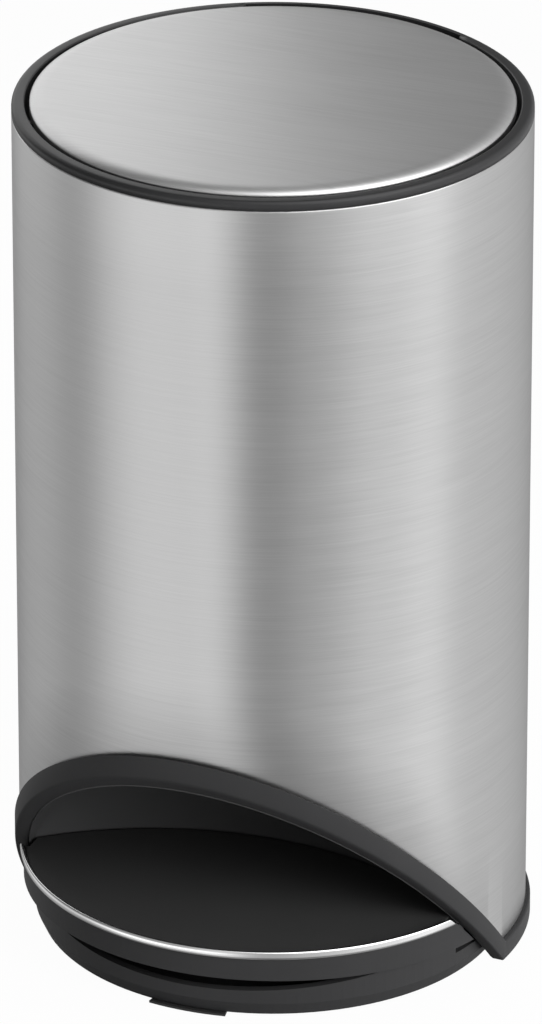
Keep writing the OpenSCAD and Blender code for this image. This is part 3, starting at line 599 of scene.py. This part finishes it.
# %% The floor
bpy.ops.mesh.primitive_plane_add(size=6.0)
floor = bpy.context.object
floor_white = 0.97
floor.name = "floor"
floor_material = bpy.data.materials.new("pale_floor")
floor_material.use_nodes = True
floor_tree = Finish(floor_material.node_tree)
plain = floor_material.node_tree.nodes["Principled BSDF"]
plain.inputs["Base Color"].default_value = (0.90, 0.90, 0.90, 1.0)
plain.inputs["Roughness"].default_value = 0.8
plain.inputs["Specular IOR Level"].default_value = 0.1
seen = floor_tree.add("ShaderNodeLightPath", output="Is Camera Ray")
glow = floor_tree.add("ShaderNodeEmission", None, {"Color": (1.0, 1.0, 1.0, 1.0), "Strength": 1.0})
floor_mix = floor_tree.add(
    "ShaderNodeMixShader", None, {0: seen * floor_white, 1: Wire(floor_tree, plain.outputs[0]), 2: glow})
floor_material.node_tree.links.new(
    floor_mix.socket, floor_material.node_tree.nodes["Material Output"].inputs["Surface"])
floor.data.materials.append(floor_material)
floor.visible_glossy = False

# %% The world
up = np.array([0.0, 0.0, 1.0])
world = bpy.data.worlds.new("studio")
bpy.context.scene.world = world
world.use_nodes = True
world_tree = world.node_tree
world_tree.nodes.clear()
sky = Finish(world_tree)
direction = sky.add("ShaderNodeTexCoord", output="Generated")
sideways = sky.add("ShaderNodeVectorMath", {"operation": "DOT_PRODUCT"},
                   {0: direction, 1: tuple(right)}, "Value")
towards = sky.add("ShaderNodeVectorMath", {"operation": "DOT_PRODUCT"},
                  {0: direction, 1: tuple(-ahead)}, "Value")
round_place = sky.add("ShaderNodeMath", {"operation": "ARCTAN2"}, {0: sideways, 1: towards})
ramp_place = 0.5 + round_place * (0.5 / math.pi)
level_stops = [(-180, 0.22), (-157, 0.33), (-141, 0.62), (-126, 0.76), (-112, 0.76), (-103, 0.68),
               (-94, 0.69), (-84, 0.92), (-77, 1.18), (-62, 1.50), (-46, 1.55), (-28, 1.43),
               (-20, 1.08), (-14, 0.72), (-8, 0.47), (-2, 0.42), (5, 0.45), (13, 0.54),
               (24, 0.60), (31, 0.69), (42, 0.83), (58, 0.89), (66, 1.01), (77, 1.08),
               (84, 0.93), (92, 0.83), (116, 0.74), (138, 0.61), (155, 0.47), (180, 0.22)]
half_turn = 180.0
brightest = 1.55
levels = sky.add("ShaderNodeValToRGB",
                 {"stops": [(0.5 + 0.5 * degrees / half_turn, level / brightest)
                            for degrees, level in level_stops]}, {0: ramp_place}) * brightest
high_light = sky.add("ShaderNodeVectorMath", {"operation": "DOT_PRODUCT"},
                     {0: direction, 1: tuple(0.50 * right - 0.35 * ahead + 0.79 * up)}, "Value")
high_level = sky.add("ShaderNodeMapRange", {"interpolation_type": "SMOOTHSTEP"},
                     {0: high_light, 1: 0.70, 2: 0.93, 3: 0.0, 4: 2.0})
height = sky.add("ShaderNodeVectorMath", {"operation": "DOT_PRODUCT"},
                 {0: direction, 1: (0.0, 0.0, 1.0)}, "Value")


def between(start, end):
    """Climbs smoothly from 0 to 1 as the direction's height goes from start to end."""
    return sky.add("ShaderNodeMapRange", {"interpolation_type": "SMOOTHSTEP"},
                   {0: height, 1: start, 2: end, 3: 0.0, 4: 1.0})


on_the_left = sky.add("ShaderNodeValToRGB", {"stops": [
    (0.5 + 0.5 * degrees / half_turn, share)
    for degrees, share in [(-180, 0.0), (-140, 1.0), (-40, 1.0), (-5, 0.0), (180, 0.0)]]}, {0: ramp_place})
low_left = 1.0 - 0.50 * on_the_left * (1.0 - between(-0.48, -0.36))
high_left = 1.0 - 0.75 * on_the_left * between(-0.25, 0.15)
deep = 0.30 + 0.70 * between(-0.78, -0.52)
path_camera = sky.add("ShaderNodeLightPath", output="Is Camera Ray")
path_glossy = sky.add("ShaderNodeLightPath", output="Is Glossy Ray")
ambient = 0.22
glossy_level = levels * low_left * high_left * deep + high_level
strength = path_camera + (1.0 - path_camera) * (
    path_glossy * glossy_level + (1.0 - path_glossy) * ambient)
shown = sky.add("ShaderNodeBackground", None, {"Color": (1.0, 1.0, 1.0, 1.0), "Strength": strength})
world_end = world_tree.nodes.new("ShaderNodeOutputWorld")
world_tree.links.new(shown.socket, world_end.inputs["Surface"])


# %% The lamps
def soft_lamp(name, place, aim, width, height, power, in_steel):
    """A rectangular lamp at a place that shines towards an aim."""
    data = bpy.data.lights.new(name, "AREA")
    data.shape = "RECTANGLE"
    data.size = width
    data.size_y = height
    data.energy = power
    lamp = bpy.data.objects.new(name, data)
    bpy.context.scene.collection.objects.link(lamp)
    lamp.location = place
    forward = np.array(aim) - np.array(place)
    forward = forward / np.linalg.norm(forward)
    lamp.rotation_euler = (math.acos(-forward[2]), 0.0, math.atan2(forward[1], forward[0]) - math.pi / 2)
    lamp.visible_camera = False
    lamp.visible_glossy = in_steel
    return lamp


middle = 0.15 * up
soft_lamp("left_box", middle - 1.1 * right - 1.2 * ahead + 0.9 * up, middle, 0.9, 1.4, 0.6, False)
soft_lamp("right_box", middle + 1.1 * right - 1.1 * ahead + 0.45 * up, middle, 0.8, 1.0, 28.0, False)
soft_lamp("top_box", middle + 1.8 * up + 0.1 * ahead, middle, 1.4, 1.4, 2.5, False)
soft_lamp("lid_panel", 0.50 * up - 0.30 * right + 0.45 * ahead,
          0.296 * up - 0.20 * right, 0.60, 0.50, 0.88, True)

# %% [markdown]
# ## The colours come out as written
# The Standard view keeps a colour as it was set, so the steel's grey is the grey on screen.

# %% View
bpy.context.scene.view_settings.view_transform = "Standard"
